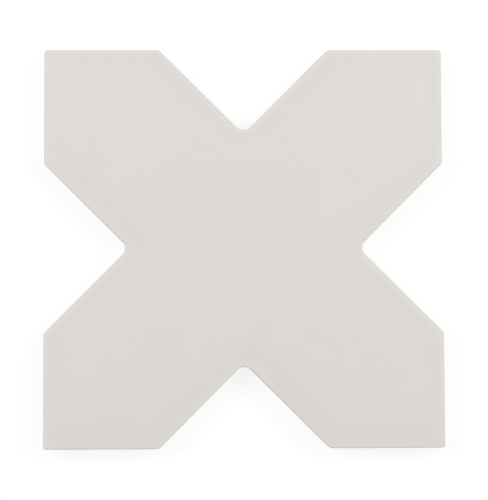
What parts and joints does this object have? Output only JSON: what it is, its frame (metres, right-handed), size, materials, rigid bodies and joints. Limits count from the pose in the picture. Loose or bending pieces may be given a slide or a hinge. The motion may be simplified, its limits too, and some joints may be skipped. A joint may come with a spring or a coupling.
{
  "type": "cross-shaped porcelain tile",
  "caption": "Flat glazed porcelain floor and wall tile shaped as a cross with pointed arms and right-angled notches, laid between star-shaped tiles.",
  "frame": {"origin": "centre of the back face, in the plane that beds in the adhesive", "axes": "+Z out of the glazed face; X and Y parallel to the sides of the square that the four arm tips fill, so that the arms lie along the diagonals"},
  "size_m": [0.12, 0.12, 0.009],
  "materials": {
    "glazed_porcelain": "matt pale warm grey glaze on the face and the rounded edge, bare fired body on the sides and back"
  },
  "bodies": {
    "root": {"cross_tile": "glazed_porcelain"}
  },
  "joints": []
}
